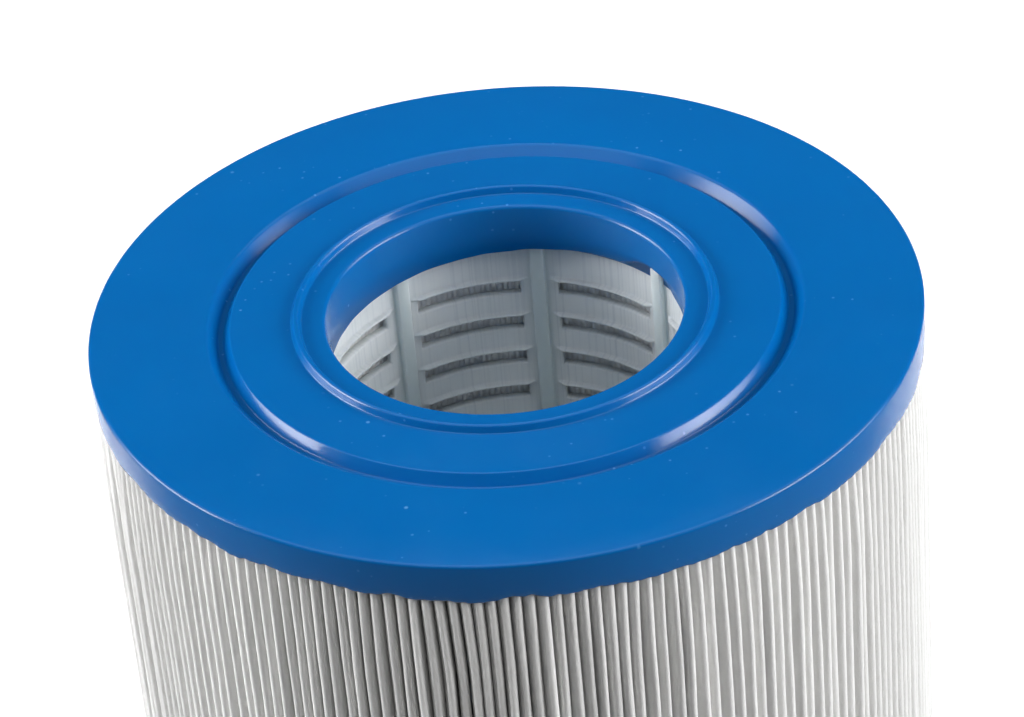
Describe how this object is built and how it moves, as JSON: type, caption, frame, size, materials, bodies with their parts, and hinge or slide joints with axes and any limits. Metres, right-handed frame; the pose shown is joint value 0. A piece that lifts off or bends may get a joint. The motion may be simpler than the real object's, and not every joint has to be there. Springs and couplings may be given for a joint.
{
  "type": "filter cartridge",
  "caption": "Cylindrical pleated filter cartridge: white folded fabric round a slotted centre core, potted in blue cast end caps with an open bore through both ends.",
  "frame": {"origin": "centre of the bore, in the plane of the bottom cap's sealing bead, which the cartridge stands on", "axes": "+Z along the bore from the bottom end to the top end; +Y towards the side seam"},
  "size_m": [0.1254, 0.1254, 0.3381],
  "materials": {
    "cap_resin": "cast polyurethane, deep blue, semi-gloss",
    "filter_fabric": "white spun-bonded polyester, matt, finely mottled",
    "seam_adhesive": "off-white hot-melt adhesive, slightly translucent",
    "core_plastic": "natural moulded polypropylene, satin, slightly translucent"
  },
  "bodies": {
    "root": {"top_end_cap": "cap_resin", "bottom_end_cap": "cap_resin", "pleated_media": "filter_fabric", "side_seam": "seam_adhesive", "core_lower": "core_plastic", "core_middle": "core_plastic", "core_upper": "core_plastic"}
  },
  "joints": []
}
